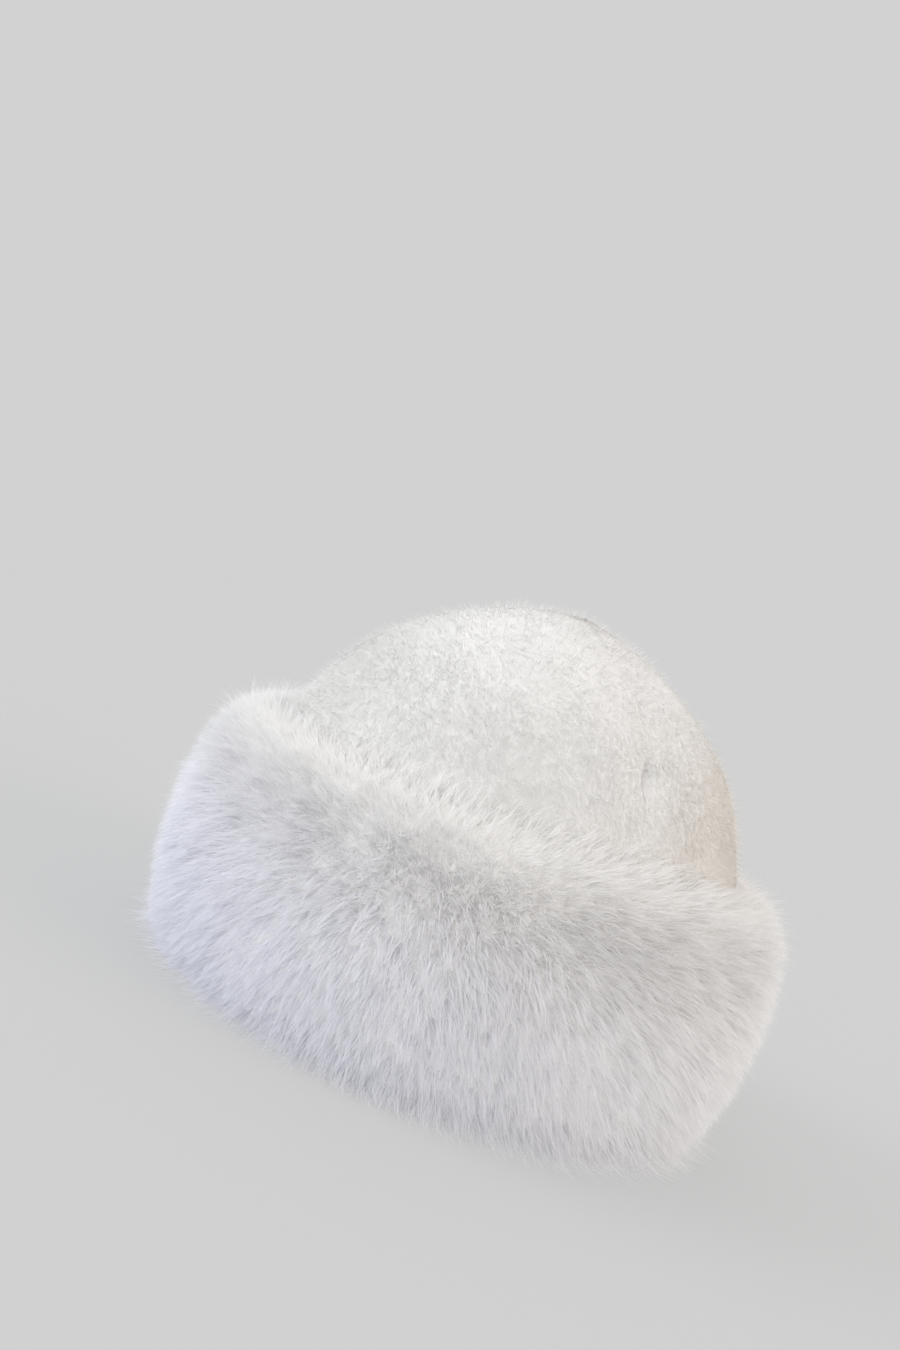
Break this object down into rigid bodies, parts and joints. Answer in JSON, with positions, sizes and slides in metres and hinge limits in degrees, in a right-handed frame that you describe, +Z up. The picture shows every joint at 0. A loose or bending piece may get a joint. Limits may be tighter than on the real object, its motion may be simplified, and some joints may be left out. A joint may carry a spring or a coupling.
{
  "type": "fur hat with a deep fur brim",
  "caption": "Domed plush hat of curved crown gores sewn to a deep, bulging brim of long fur with an open hollow for the head.",
  "frame": {"origin": "centre of the hat's footprint, on the surface that its brim rests on", "axes": "+Z up through the top of the crown, -Y towards the front, +X towards the hat's right side as seen from the front"},
  "size_m": [0.271, 0.284, 0.188],
  "materials": {
    "crown_plush": "short dense plush, matt",
    "brim_fur": "long soft fur, matt with a faint sheen"
  },
  "bodies": {
    "root": {"crown_panel_1": "crown_plush", "crown_panel_2": "crown_plush", "crown_panel_3": "crown_plush", "crown_panel_4": "crown_plush", "crown_panel_5": "crown_plush", "crown_panel_6": "crown_plush", "brim": "brim_fur"}
  },
  "joints": []
}
